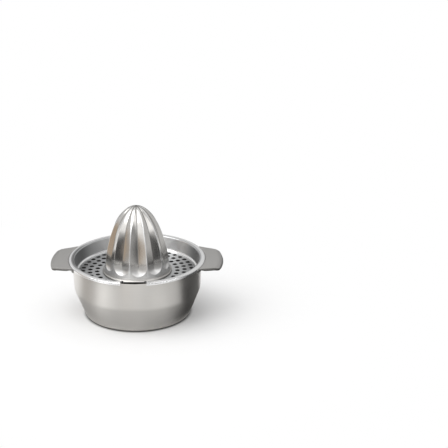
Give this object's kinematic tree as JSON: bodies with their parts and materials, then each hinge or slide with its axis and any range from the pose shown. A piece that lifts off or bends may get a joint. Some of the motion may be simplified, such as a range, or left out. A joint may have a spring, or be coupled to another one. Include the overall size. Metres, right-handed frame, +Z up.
{
  "type": "lemon squeezer",
  "caption": "Pressed stainless citrus squeezer: a round juice bowl under a lift-off perforated strainer with a fluted reamer cone, a rolled rim, a pouring notch and side handles.",
  "frame": {"origin": "on the table, at the centre of the bowl's flat base", "axes": "+Z up along the axis of the bowl and the reamer, +X towards the right handle, -Y towards the pouring notch"},
  "size_m": [0.1724, 0.1352, 0.1125],
  "materials": {
    "bowl_steel": "satin, brushed round the bowl",
    "strainer_steel": "satin floor and wall with a bright rolled rim",
    "reamer_steel": "semi-bright, polished along the flutes",
    "handle_steel": "satin"
  },
  "bodies": {
    "bowl": {"juice_bowl": "bowl_steel"},
    "strainer": {"strainer_dish": "strainer_steel", "reamer_cone": "reamer_steel", "left_handle": "handle_steel", "right_handle": "handle_steel"}
  },
  "joints": [
    {"name": "strainer_lift", "type": "slide", "parent": "bowl", "child": "strainer", "axis": [0, 0, 1], "range_m": [0, 0.08]}
  ]
}
